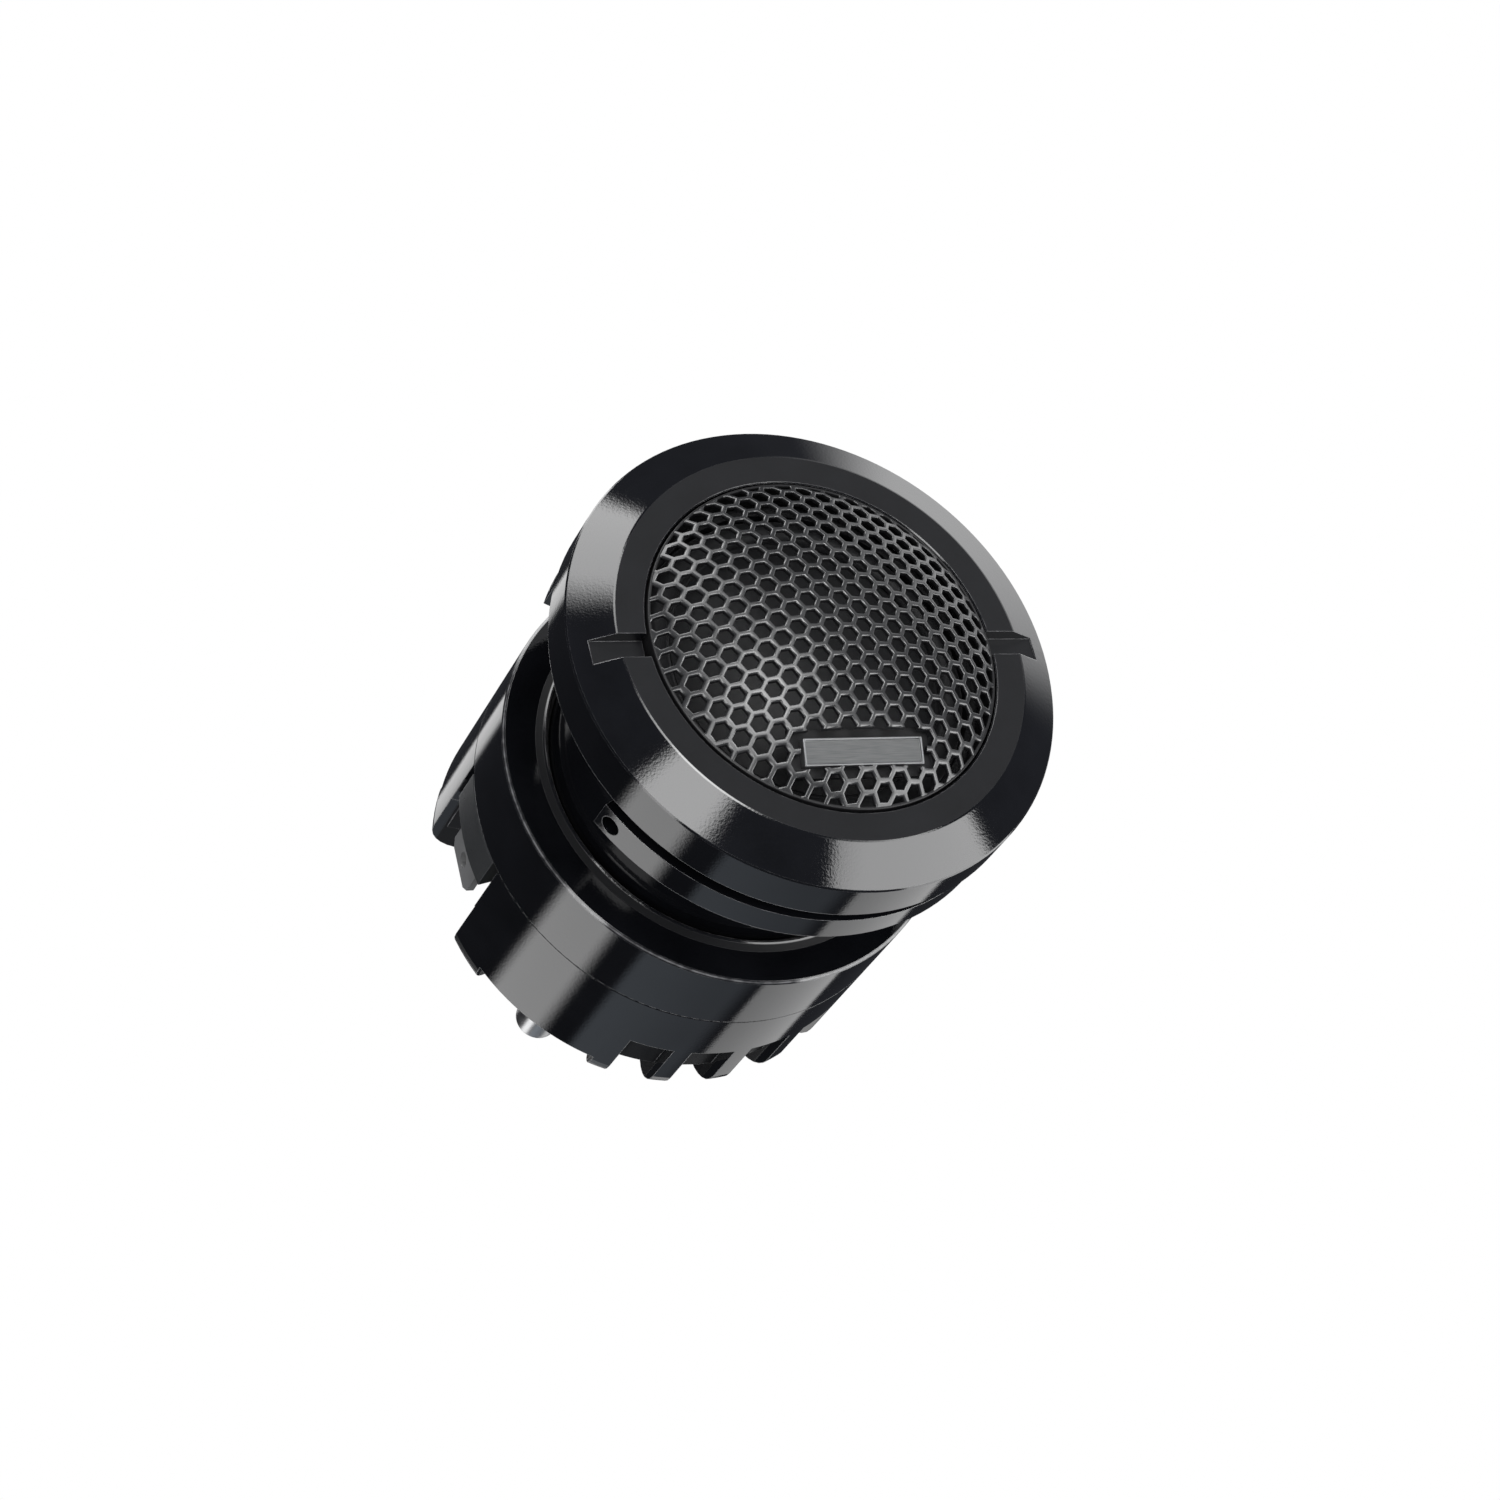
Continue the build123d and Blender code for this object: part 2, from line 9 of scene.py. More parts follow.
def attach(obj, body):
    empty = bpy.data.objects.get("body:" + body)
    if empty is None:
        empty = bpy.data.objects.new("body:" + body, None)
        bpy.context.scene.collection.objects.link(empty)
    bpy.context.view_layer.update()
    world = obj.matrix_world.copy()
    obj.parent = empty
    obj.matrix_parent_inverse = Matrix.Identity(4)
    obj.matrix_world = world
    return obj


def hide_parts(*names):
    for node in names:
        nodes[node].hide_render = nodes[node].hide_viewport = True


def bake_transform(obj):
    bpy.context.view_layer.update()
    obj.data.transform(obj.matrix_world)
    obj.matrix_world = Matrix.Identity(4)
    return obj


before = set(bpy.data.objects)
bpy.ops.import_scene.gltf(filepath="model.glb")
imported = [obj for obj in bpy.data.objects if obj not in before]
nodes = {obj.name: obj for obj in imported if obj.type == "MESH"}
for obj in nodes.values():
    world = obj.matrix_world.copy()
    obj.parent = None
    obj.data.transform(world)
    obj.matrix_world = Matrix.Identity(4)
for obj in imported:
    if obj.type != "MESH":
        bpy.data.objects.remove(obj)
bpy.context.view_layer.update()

MM = 0.001
STATIC, MOVING = "frame", "diaphragm"
scene = bpy.context.scene
rnd = random.Random(7)


# ------------------------------------------------------------------ node graph helpers
class Graph:
    """Small wrapper round a node tree, so that a material reads as a few lines."""

    def __init__(self, tree):
        self.tree, self.nodes, self.links = tree, tree.nodes, tree.links
        self.nodes.clear()

    def set(self, node, index, value):
        if value is None:
            return
        socket = node.inputs[index]
        if isinstance(value, bpy.types.NodeSocket):
            self.links.new(value, socket)
        else:
            socket.default_value = value

    def math(self, op, a, b=None, c=None, clamp=False):
        n = self.nodes.new("ShaderNodeMath")
        n.operation, n.use_clamp = op, clamp
        for k, v in enumerate((a, b, c)):
            self.set(n, k, v)
        return n.outputs[0]

    def smooth(self, value, lo, hi, a=0.0, b=1.0, kind="SMOOTHSTEP"):
        n = self.nodes.new("ShaderNodeMapRange")
        n.interpolation_type = kind
        for k, v in zip((0, 1, 2, 3, 4), (value, lo, hi, a, b)):
            self.set(n, k, v)
        return n.outputs[0]

    def mix(self, f, a, b, blend="MIX"):
        n = self.nodes.new("ShaderNodeMix")
        n.data_type, n.blend_type = "RGBA", blend
        self.set(n, 0, f)
        self.set(n, 6, a)
        self.set(n, 7, b)
        return n.outputs[2]

    def position(self):
        n = self.nodes.new("ShaderNodeTexCoord")
        return n.outputs["Object"]

    def split(self, v):
        n = self.nodes.new("ShaderNodeSeparateXYZ")
        self.set(n, 0, v)
        return n.outputs[0], n.outputs[1], n.outputs[2]

    def join(self, x, y, z):
        n = self.nodes.new("ShaderNodeCombineXYZ")
        for k, v in enumerate((x, y, z)):
            self.set(n, k, v)
        return n.outputs[0]

    def noise(self, vec, scale, detail=3.0, rough=0.55, distortion=0.0):
        n = self.nodes.new("ShaderNodeTexNoise")
        self.set(n, "Vector", vec)
        n.inputs["Scale"].default_value = scale
        n.inputs["Detail"].default_value = detail
        n.inputs["Roughness"].default_value = rough
        n.inputs["Distortion"].default_value = distortion
        return n.outputs["Fac"]

    def voronoi(self, vec, scale, feature="F1"):
        n = self.nodes.new("ShaderNodeTexVoronoi")
        n.feature = feature
        self.set(n, "Vector", vec)
        n.inputs["Scale"].default_value = scale
        return n.outputs["Distance"]

    def ramp(self, f, stops):
        n = self.nodes.new("ShaderNodeValToRGB")
        self.set(n, 0, f)
        e = n.color_ramp.elements
        while len(e) < len(stops):
            e.new(0.5)
        for k, (p, c) in enumerate(stops):
            e[k].position = p
            e[k].color = (*c, 1.0)
        return n.outputs[0]

    def bump(self, height, distance, strength=1.0, normal=None):
        n = self.nodes.new("ShaderNodeBump")
        n.inputs["Strength"].default_value = strength
        n.inputs["Distance"].default_value = distance
        self.set(n, "Height", height)
        if normal is not None:
            self.set(n, "Normal", normal)
        return n.outputs[0]

    def bevel(self, radius, samples=6):
        n = self.nodes.new("ShaderNodeBevel")
        n.samples = samples
        n.inputs["Radius"].default_value = radius
        return n.outputs[0]

    def polar(self):
        """(radius, angle in turns, height) of the shaded point about the part's axis."""
        x, y, z = self.split(self.position())
        r = self.math("SQRT", self.math("ADD", self.math("MULTIPLY", x, x), self.math("MULTIPLY", y, y)))
        a = self.math("DIVIDE", self.math("ARCTAN2", y, x), 2 * math.pi)
        return r, a, z


def new_material(name):
    m = bpy.data.materials.new(name)
    m.use_nodes = True
    g = Graph(m.node_tree)
    out = g.nodes.new("ShaderNodeOutputMaterial")
    p = g.nodes.new("ShaderNodeBsdfPrincipled")
    g.links.new(p.outputs[0], out.inputs[0])
    return m, g, p


def finish(name, base, rough, metallic=0.0, edge=0.08, grain=0.004, grain_scale=9000, edge_wear_and_glint=0.0, edge_wear_and_glint_colour=(0.3, 0.3, 0.31),
           spread=0.25, ior=1.5, coat=0.0, coat_rough=0.05, sheen=0.0, streak=None, spec=0.5, matte=None, glint=None, calm=None):
    """Shared recipe: colour drift, roughness drift, fine grain bump and softly broken, slightly worn edges; the lighter
    colour along the edges is partly worn paint and partly a painted highlight line.
    """
    m, g, p = new_material(name)
    pos = g.position()
    drift = g.noise(pos, 140, 4.0)
    fine = g.noise(pos, grain_scale, 2.0)
    cloud = g.noise(pos, 1400, 3.0)
    dark = tuple(c * (1 - spread) for c in base)
    light = tuple(min(1.0, c * (1 + spread)) for c in base)
    colour = g.ramp(drift, [(0.3, dark), (0.7, light)])
    colour = g.mix(g.smooth(fine, 0.45, 0.75, 0.0, 0.35), colour, (*light, 1.0))
    r = g.math("ADD", rough, g.math("MULTIPLY", g.math("SUBTRACT", drift, 0.5), rough * 0.5))
    r = g.math("ADD", r, g.math("MULTIPLY", g.math("SUBTRACT", cloud, 0.5), rough * 0.4), clamp=True)
    soft = g.bevel(edge * MM) if edge else None
    # Edges mixed towards light grey: partly worn paint, partly a painted highlight standing in for light caught along
    # every edge.
    if edge_wear_and_glint and edge:
        geo = g.nodes.new("ShaderNodeNewGeometry")
        dot = g.nodes.new("ShaderNodeVectorMath")
        dot.operation = "DOT_PRODUCT"
        g.set(dot, 0, g.bevel(edge * 1.4 * MM))
        g.set(dot, 1, geo.outputs["Normal"])
        at_edge = g.smooth(dot.outputs["Value"], 0.985, 0.86, 0.0, 1.0)
        patchy = g.smooth(g.noise(pos, 900, 5.0), 0.34, 0.62, 0.3, 1.0)
        # glint adds a painted highlight line in lighter colour; calm leaves the painted edge highlight off where shade
        # falls.
        if glint:
            at_edge = g.math("MAXIMUM", at_edge, glint(g))
        if calm:
            at_edge = g.math("MULTIPLY", at_edge, calm(g))
        f = g.math("MULTIPLY", g.math("MULTIPLY", at_edge, patchy), edge_wear_and_glint)
        colour = g.mix(f, colour, (*edge_wear_and_glint_colour, 1.0))
        r = g.math("ADD", r, g.math("MULTIPLY", f, 0.12), clamp=True)
    height = fine
    if streak:
        height = g.math("ADD", g.math("MULTIPLY", fine, 0.4), g.math("MULTIPLY", streak(g), 0.6))
    normal = g.bump(height, grain * MM, 1.0, soft)
    g.set(p, "Base Color", colour)
    g.set(p, "Roughness", r)
    g.set(p, "Normal", normal)
    p.inputs["Metallic"].default_value = metallic
    p.inputs["IOR"].default_value = ior
    p.inputs["Specular IOR Level"].default_value = spec
    if matte:
        zone, add, cut = matte
        f = zone(g)
        g.set(p, "Roughness", g.math("ADD", r, g.math("MULTIPLY", f, add), clamp=True))
        g.set(p, "Specular IOR Level", g.math("MULTIPLY", spec, g.math("SUBTRACT", 1.0, g.math("MULTIPLY", f, cut))))
    if coat:
        p.inputs["Coat Weight"].default_value = coat
        p.inputs["Coat Roughness"].default_value = coat_rough
    if sheen:
        p.inputs["Sheen Weight"].default_value = sheen
        p.inputs["Sheen Roughness"].default_value = 0.4
    return m


def turned(g, scale=26000.0):
    """Fine concentric tool marks about the axis."""
    r, a, z = g.polar()
    v = g.join(g.math("MULTIPLY", r, 1.0), g.math("MULTIPLY", a, 0.0004), g.math("MULTIPLY", z, 1.0))
    return g.noise(v, scale, 1.0)


def as_cast(g):
    """1 on the unpolished core of the heat sink, between and behind its fins."""
    r, a, z = g.polar()
    return g.math("MULTIPLY", g.smooth(r, 23.6 * MM, 23.3 * MM), g.smooth(z, -35.60 * MM, -35.75 * MM))


def lip_flank(g):
    """1 on the blasted flank of the lip round the neck; its crest stays bright."""
    r, a, z = g.polar()
    return g.math("MULTIPLY", g.math("MULTIPLY", g.smooth(r, 20.16 * MM, 20.30 * MM), g.smooth(r, 21.0 * MM, 20.9 * MM)), g.smooth(z, -18.70 * MM, -18.64 * MM))


def painted_top_chamfer_glint(g):
    """Painted highlight: a narrow line of lighter colour along the broken top edge of the ring."""
    r, a, z = g.polar()
    return g.math("MULTIPLY", g.math("MULTIPLY", g.smooth(r, 24.20 * MM, 24.26 * MM), g.smooth(z, -18.90 * MM, -18.84 * MM)), 0.8)


def off_seam(g):
    """0 in the shadow groove between body ring and heat sink, where no light catches the edges: there the painted edge
    highlight is left off.
    """
    r, a, z = g.polar()
    gap = g.math("ABSOLUTE", g.math("ADD", z, 27.9 * MM))
    return g.smooth(gap, 0.18 * MM, 0.42 * MM)


def flat_face(g):
    """1 on the satin faces square to the axis, which the bezel shows round its grille and in its slots."""
    n = g.nodes.new("ShaderNodeNewGeometry")
    x, y, z = g.split(n.outputs["True Normal"])
    return g.smooth(z, 0.93, 0.975)


# ------------------------------------------------------------------ materials
BLACK = (0.0024, 0.0026, 0.0033)
MAT = {}
# The edge lightening (0.40) on these black finishes is partly worn paint and partly a painted highlight along the
# edges.
MAT["bezel_black"] = finish("bezel_black", BLACK, 0.055, edge=0.09, grain=0.0050, grain_scale=3900, edge_wear_and_glint=0.40, spread=0.3, matte=(flat_face, 0.27, 0.45))
MAT["body_black"] = finish("body_black", BLACK, 0.050, edge=0.09, grain=0.0040, grain_scale=3900, edge_wear_and_glint=0.40, spread=0.3)
# The ring also carries a painted highlight line on its top chamfer.
MAT["ring_black"] = finish("ring_black", BLACK, 0.050, edge=0.09, grain=0.0040, grain_scale=3900, edge_wear_and_glint=0.40, spread=0.3, matte=(lip_flank, 0.5, 0.8), glint=painted_top_chamfer_glint, calm=off_seam)
MAT["sink_black"] = finish("sink_black", BLACK, 0.055, edge=0.10, grain=0.0042, grain_scale=3900, edge_wear_and_glint=0.40, spread=0.3, matte=(as_cast, 0.5, 0.8), calm=off_seam)
MAT["grille_black"] = finish("grille_black", (0.006, 0.0062, 0.0068), 0.33, edge=0.0, grain=0.003, grain_scale=14000, spread=0.3, ior=1.56)
# Lighter colour for the broken rim round each hole: a painted highlight along the rib edges.
MAT["grille_edge_highlight"] = finish("grille_edge_highlight", (0.015, 0.0153, 0.016), 0.27, edge=0.0, grain=0.003, grain_scale=14000, spread=0.25, ior=1.65)
MAT["grille_rim"] = finish("grille_rim", (0.005, 0.005, 0.0055), 0.42, edge=0.0, grain=0.003, grain_scale=14000, spread=0.3, spec=0.22)
MAT["badge_silver"] = finish("badge_silver", (0.17, 0.173, 0.176), 0.38, metallic=0.9, edge=0.04, grain=0.002, spread=0.12)
MAT["black_plastic"] = finish("black_plastic", (0.004, 0.004, 0.0045), 0.55, edge=0.05, grain=0.010, grain_scale=5200, spec=0.16)
MAT["carrier_grey"] = finish("carrier_grey", (0.020, 0.021, 0.022), 0.30, edge=0.05, grain=0.006, grain_scale=4200, spread=0.1)
MAT["gasket"] = finish("gasket", (0.014, 0.014, 0.015), 0.78, edge=0.0, grain=0.03, grain_scale=2600)
MAT["foam"] = None
MAT["felt"] = None
MAT["silk"] = None
MAT["former"] = finish("former", (0.55, 0.36, 0.16), 0.35, edge=0.0, grain=0.002, spread=0.1, streak=turned)
MAT["copper_cap"] = finish("copper_cap", (0.83, 0.42, 0.27), 0.24, metallic=1.0, edge=0.05, grain=0.002, spread=0.08, streak=turned)
MAT["steel"] = finish("steel", (0.33, 0.332, 0.335), 0.30, metallic=1.0, edge=0.05, grain=0.0016, spread=0.06, streak=turned)
MAT["yoke_steel"] = finish("yoke_steel", (0.42, 0.43, 0.44), 0.34, metallic=1.0, edge=0.06, grain=0.003, spread=0.08, streak=turned)
MAT["magnet"] = finish("magnet", (0.60, 0.60, 0.60), 0.22, metallic=1.0, edge=0.06, grain=0.002, spread=0.07)
MAT["tab_metal"] = finish("tab_metal", (0.33, 0.332, 0.335), 0.40, metallic=0.8, edge=0.0, grain=0.002, spread=0.08)
MAT["wire_red"] = finish("wire_red", (0.42, 0.018, 0.014), 0.34, edge=0.0, grain=0.004)
MAT["wire_black"] = finish("wire_black", (0.012, 0.012, 0.013), 0.34, edge=0.0, grain=0.004)


def winding():
    m, g, p = new_material("copper")
    r, a, z = g.polar()
    turn = g.math("SINE", g.math("MULTIPLY", g.math("ADD", z, g.math("MULTIPLY", a, 0.00011)), 2 * math.pi / 0.00011))
    fine = g.noise(g.position(), 3000, 3.0)
    g.set(p, "Base Color", g.mix(g.smooth(turn, -1, 0.4), (0.30, 0.09, 0.035, 1), g.ramp(fine, [(0.3, (0.66, 0.27, 0.12)), (0.7, (0.82, 0.36, 0.17))])))
    g.set(p, "Roughness", g.smooth(fine, 0.2, 0.8, 0.22, 0.34))
    g.set(p, "Normal", g.bump(turn, 0.00003))
    p.inputs["Metallic"].default_value = 1.0
    p.inputs["Coat Weight"].default_value = 0.4
    return m


def cloth(name, base, thread, rough, depth, wet=0.0):
    """Plain weave laid over the piece from above, with lighter crowns and thread drift; the darker colour between the
    crowns is painted shade.
    """
    m, g, p = new_material(name)
    x, y, z = g.split(g.position())
    wob = g.math("MULTIPLY", g.math("SUBTRACT", g.noise(g.position(), 500, 2.0), 0.5), thread * 0.5)
    k = 2 * math.pi / thread
    a = g.math("SINE", g.math("MULTIPLY", g.math("ADD", x, wob), k))
    b = g.math("SINE", g.math("MULTIPLY", g.math("ADD", y, wob), k))
    over = g.math("MULTIPLY", a, b)
    crown = g.math("ADD", g.math("MULTIPLY", over, 0.5), 0.5)
    fuzz = g.noise(g.position(), 16000, 3.0)
    drift = g.noise(g.position(), 260, 4.0)
    # Valleys between the thread crowns darker: painted shade in the weave.
    colour = g.mix(crown, (*[c * 0.55 for c in base], 1), (*base, 1))
    colour = g.mix(g.smooth(drift, 0.35, 0.7, 0.0, 0.35), colour, (*[min(1, c * 1.5) for c in base], 1))
    g.set(p, "Base Color", colour)
    g.set(p, "Roughness", g.smooth(g.math("ADD", g.math("MULTIPLY", crown, 0.4), g.math("MULTIPLY", drift, 0.6)), 0.0, 1.0, rough + 0.06, rough - 0.06))
    g.set(p, "Normal", g.bump(g.math("ADD", crown, g.math("MULTIPLY", fuzz, 0.4)), depth * MM))
    p.inputs["Specular IOR Level"].default_value = 0.14
    p.inputs["Sheen Weight"].default_value = 0.04
    p.inputs["Sheen Roughness"].default_value = 0.35
    p.inputs["Coat Weight"].default_value = wet
    p.inputs["Coat Roughness"].default_value = 0.3
    return m


def fibres(name, base, scale, depth, pores=False):
    m, g, p = new_material(name)
    pos = g.position()
    a = g.noise(pos, scale, 6.0, 0.7, 1.5)
    b = g.noise(pos, scale * 0.12, 3.0)
    cell = g.voronoi(pos, scale * 0.55) if pores else a
    # Colour follows the bump height, darker where the surface lies lower: painted shade in the pores and between the
    # fibres.
    colour = g.ramp(cell if pores else a, [(0.15, tuple(c * (0.35 if not pores else 1.3) for c in base)), (0.75, tuple(c * (1.35 if not pores else 0.35) for c in base))])
    colour = g.mix(g.smooth(b, 0.35, 0.7, 0.0, 0.4), colour, (*[c * 0.7 for c in base], 1))
    g.set(p, "Base Color", colour)
    g.set(p, "Roughness", g.smooth(a, 0.2, 0.8, 0.86, 0.97))
    g.set(p, "Normal", g.bump(g.math("SUBTRACT", a, g.math("MULTIPLY", cell, 0.8)) if pores else a, depth * MM))
    p.inputs["Sheen Weight"].default_value = 0.2
    return m


MAT["copper"] = winding()
MAT["silk"] = cloth("silk", (0.011, 0.0112, 0.012), 0.00021, 0.42, 0.012, wet=0.0)
MAT["foam"] = fibres("foam", (0.022, 0.0225, 0.024), 2600, 0.30, pores=True)
MAT["felt"] = fibres("felt", (0.42, 0.40, 0.37), 4200, 0.14)
MAT["braid"] = finish("braid", (0.72, 0.44, 0.24), 0.36, metallic=1.0, edge=0.0, grain=0.02, grain_scale=9000)

SLOT_OF = {
    "bezel": "bezel_black", "grille": "grille_black", "badge": "badge_silver", "badge_clip": "black_plastic",
    "grille_gasket": "gasket", "chassis": "body_black", "diaphragm_ring": "black_plastic", "neck_seal": "gasket",
    "body_ring": "body_black", "heat_sink": "sink_black", "chamber_gasket": "gasket", "terminal_carrier": "carrier_grey",
    "terminal_positive": "tab_metal", "terminal_negative": "tab_metal", "lead_wire_positive": "wire_red",
    "lead_wire_negative": "wire_black", "yoke": "yoke_steel", "magnet": "magnet", "pole_plate": "yoke_steel",
    "shorting_cap": "copper_cap", "felt_pad": "felt", "coil_former": "former", "voice_coil": "copper", "dome": "silk",
    "surround": "silk", "tinsel_leads": "braid", "damping_foam": "foam", "mounting_stud": "steel",
    "lock_washer": "steel", "stud_nut": "steel",
}
for name, ob in nodes.items():
    mat = MAT.get(SLOT_OF.get(name, ""), None) or MAT["body_black"]
    ob.data.materials.clear()
    ob.data.materials.append(mat)
nodes["body_ring"].data.materials[0] = MAT["ring_black"]


# ------------------------------------------------------------------ mesh helpers
def piece(name, verts, faces, mat, body=STATIC, smooth=35.0, clean=True, weighted=True):
    """Object from points in millimetres."""
    me = bpy.data.meshes.new(name)
    me.from_pydata([tuple(c * MM for c in v) for v in verts], [], faces)
    ob = bpy.data.objects.new(name, me)
    scene.collection.objects.link(ob)
    if clean:
        bm = bmesh.new()
        bm.from_mesh(me)
        bmesh.ops.remove_doubles(bm, verts=bm.verts, dist=1e-7)
        bmesh.ops.recalc_face_normals(bm, faces=bm.faces)
        bm.to_mesh(me)
        bm.free()
    shade(ob, smooth, weighted)
    me.materials.append(mat)
    if body:
        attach(ob, body)
    return ob


def shade(ob, angle, weighted=True):
    me = ob.data
    me.polygons.foreach_set("use_smooth", [True] * len(me.polygons))
    me.set_sharp_from_angle(angle=math.radians(angle))
    if weighted:
        w = ob.modifiers.new("normals", "WEIGHTED_NORMAL")
        w.keep_sharp = True
        w.weight = 80
    me.update()


def rounded(outline, steps=4):
    """Closed (r, z, radius) outline with its corners rounded."""
    out, n = [], len(outline)
    for k in range(n):
        p = outline[k]
        rad = p[2] if len(p) > 2 else 0.0
        a, b, c = Vector(outline[k - 1][:2]), Vector(p[:2]), Vector(outline[(k + 1) % n][:2])
        if rad <= 0:
            out.append((b.x, b.y))
            continue
        u, v = (a - b).normalized(), (c - b).normalized()
        ang = u.angle(v)
        t = min(rad / math.tan(ang / 2), (a - b).length * 0.48, (c - b).length * 0.48)
        q = t * math.tan(ang / 2)
        centre = b + (u + v).normalized() * (q / math.sin(ang / 2))
        s, e = b + u * t - centre, b + v * t - centre
        a0 = math.atan2(s.y, s.x)
        d = math.atan2(e.y, e.x) - a0
        d = (d + math.pi) % (2 * math.pi) - math.pi
        for i in range(steps + 1):
            th = a0 + d * i / steps
            out.append((centre.x + q * math.cos(th), centre.y + q * math.sin(th)))
    return out


def lathe(name, outline, mat, body=STATIC, segs=192, steps=4, smooth=35.0, warp=None):
    """Turned piece from a closed (r, z[, corner radius]) outline in millimetres."""
    prof = rounded(outline, steps)
    verts, faces = [], []
    n = len(prof)
    for s in range(segs):
        t = 2 * math.pi * s / segs
        for r, z in prof:
            r, z = max(r, 0.0), z
            p = (r * math.cos(t), r * math.sin(t), z)
            verts.append(warp(p, t) if warp else p)
    for s in range(segs):
        s2 = (s + 1) % segs
        for k in range(n):
            k2 = (k + 1) % n
            faces.append((s * n + k, s2 * n + k, s2 * n + k2, s * n + k2))
    ob = piece(name, verts, faces, mat, body, smooth, clean=False)
    bm = bmesh.new()
    bm.from_mesh(ob.data)
    bmesh.ops.remove_doubles(bm, verts=bm.verts, dist=2e-7)
    bmesh.ops.recalc_face_normals(bm, faces=bm.faces)
    bm.to_mesh(ob.data)
    bm.free()
    shade(ob, smooth, weighted=False)
    return ob


def raw(name, verts, faces):
    me = bpy.data.meshes.new(name)
    me.from_pydata([tuple(c * MM for c in v) for v in verts], [], faces)
    ob = bpy.data.objects.new(name, me)
    scene.collection.objects.link(ob)
    return ob


# ------------------------------------------------------------------ grille: domed hexagonal mesh
BALL, BALL_Z, RIB_T = 35.096, -22.436, 0.6
PITCH, HALF_FLAT = 2.0, 0.74


def grille_mesh():
    """Every cell is a set of hexagonal rings, from the middle of its ribs to its hole: flat crown, broken rim, wall,
    underside. The broken rim gets a lighter material, a painted highlight along each hole.
    """
    cells = []
    for i in range(-13, 14):
        for j in range(-23, 24):
            if (i + j) % 2 == 0 and math.hypot(i * PITCH * math.sqrt(3) / 2, j * PITCH / 2) < 20.6:
                cells.append((i * PITCH * math.sqrt(3) / 2, j * PITCH / 2))
    # apothem of each ring, and how far it lies under the dome's outer ball
    rings = [(1.0, 0.0), (0.885, 0.0), (0.84, 0.014), (0.79, 0.055), (0.755, 0.11), (HALF_FLAT, 0.18), (HALF_FLAT, 0.47),
             (0.76, 0.56), (0.80, RIB_T), (1.0, RIB_T)]
    verts, faces, bright = [], [], []
    for cx, cy in cells:
        base = len(verts)
        for apo, drop in rings:
            R = apo / math.cos(math.pi / 6)
            for k in range(6):
                a = math.radians(60 * k)
                put(verts, cx + R * math.cos(a), cy + R * math.sin(a), drop)
        for q in range(len(rings) - 1):
            for k in range(6):
                k2 = (k + 1) % 6
                faces.append((base + q * 6 + k, base + q * 6 + k2, base + (q + 1) * 6 + k2, base + (q + 1) * 6 + k))
                # 1 marks the broken-rim faces, which take the lighter material: painted highlight.
                bright.append(1 if 1 <= q <= 4 else 0)
    return verts, faces, bright


def put(verts, x, y, drop):
    r = min(math.hypot(x, y), 30.0)
    tuck = min(1.0, max(0.0, (r - 16.9) / 1.3))       # the last row dips into its rim
    verts.append((x, y, BALL_Z + math.sqrt(BALL * BALL - r * r) - drop - 0.31 * tuck * tuck * (3 - 2 * tuck)))


